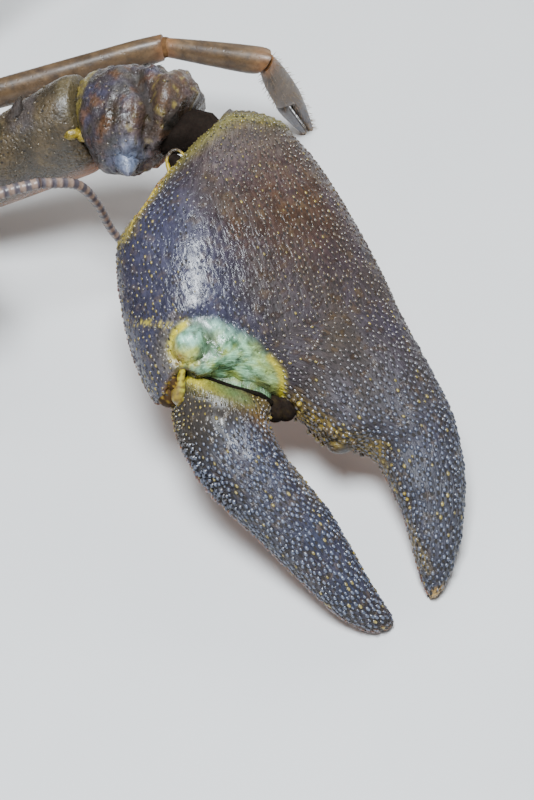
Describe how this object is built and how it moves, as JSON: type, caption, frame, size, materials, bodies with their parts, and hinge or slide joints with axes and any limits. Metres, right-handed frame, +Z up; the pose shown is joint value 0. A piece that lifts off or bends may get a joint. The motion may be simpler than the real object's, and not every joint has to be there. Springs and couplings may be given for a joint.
{
  "type": "signal crayfish",
  "caption": "Life-size signal crayfish standing still, with broad claws resting forward, long antennae and a spread tail fan.",
  "frame": {"origin": "centre of the bounding box's bottom, on the floor the animal stands on", "axes": "-Y towards the head and claws, +X towards the animal's left side, +Z up"},
  "size_m": [0.1378, 0.1978, 0.0474],
  "materials": {
    "shell": "satin",
    "tail_plate": "satin",
    "claw_shell": "satin",
    "limb_shell": "satin",
    "feeler": "satin",
    "eye": "gloss",
    "jaw": "satin"
  },
  "bodies": {
    "root": {"abdomen_1": "shell", "abdomen_2": "shell", "abdomen_3": "shell", "abdomen_4": "shell", "abdomen_5": "shell", "abdomen_6": "shell", "antenna_l_base": "feeler", "antenna_l_scale": "feeler", "antenna_r_base": "feeler", "antenna_r_scale": "feeler", "antennule_l": "feeler", "antennule_r": "feeler", "carapace": "shell", "cheliped_l_base": "claw_shell", "cheliped_l_carpus": "claw_shell", "cheliped_l_dactyl": "claw_shell", "cheliped_l_merus": "claw_shell", "cheliped_l_palm": "claw_shell", "cheliped_r_base": "claw_shell", "cheliped_r_carpus": "claw_shell", "cheliped_r_dactyl": "claw_shell", "cheliped_r_merus": "claw_shell", "cheliped_r_palm": "claw_shell", "eye_l": "eye", "eye_r": "eye", "eyestalk_l": "limb_shell", "eyestalk_r": "limb_shell", "flagellum_l_1": "feeler", "flagellum_l_2": "feeler", "flagellum_l_3": "feeler", "flagellum_r_1": "feeler", "flagellum_r_2": "feeler", "leg2_l_lower": "limb_shell", "leg2_l_upper": "limb_shell", "leg2_r_lower": "limb_shell", "leg2_r_upper": "limb_shell", "leg3_l_lower": "limb_shell", "leg3_l_upper": "limb_shell", "leg3_r_lower": "limb_shell", "leg3_r_upper": "limb_shell", "leg4_l_lower": "limb_shell", "leg4_l_upper": "limb_shell", "leg4_r_lower": "limb_shell", "leg4_r_upper": "limb_shell", "leg5_l_lower": "limb_shell", "leg5_l_upper": "limb_shell", "leg5_r_lower": "limb_shell", "leg5_r_upper": "limb_shell", "mandible_l": "jaw", "mandible_r": "jaw", "maxilliped_l": "limb_shell", "maxilliped_r": "limb_shell", "sternum": "limb_shell", "telson": "tail_plate", "uropod_l_inner": "tail_plate", "uropod_l_outer": "tail_plate", "uropod_r_inner": "tail_plate", "uropod_r_outer": "tail_plate"}
  },
  "joints": []
}
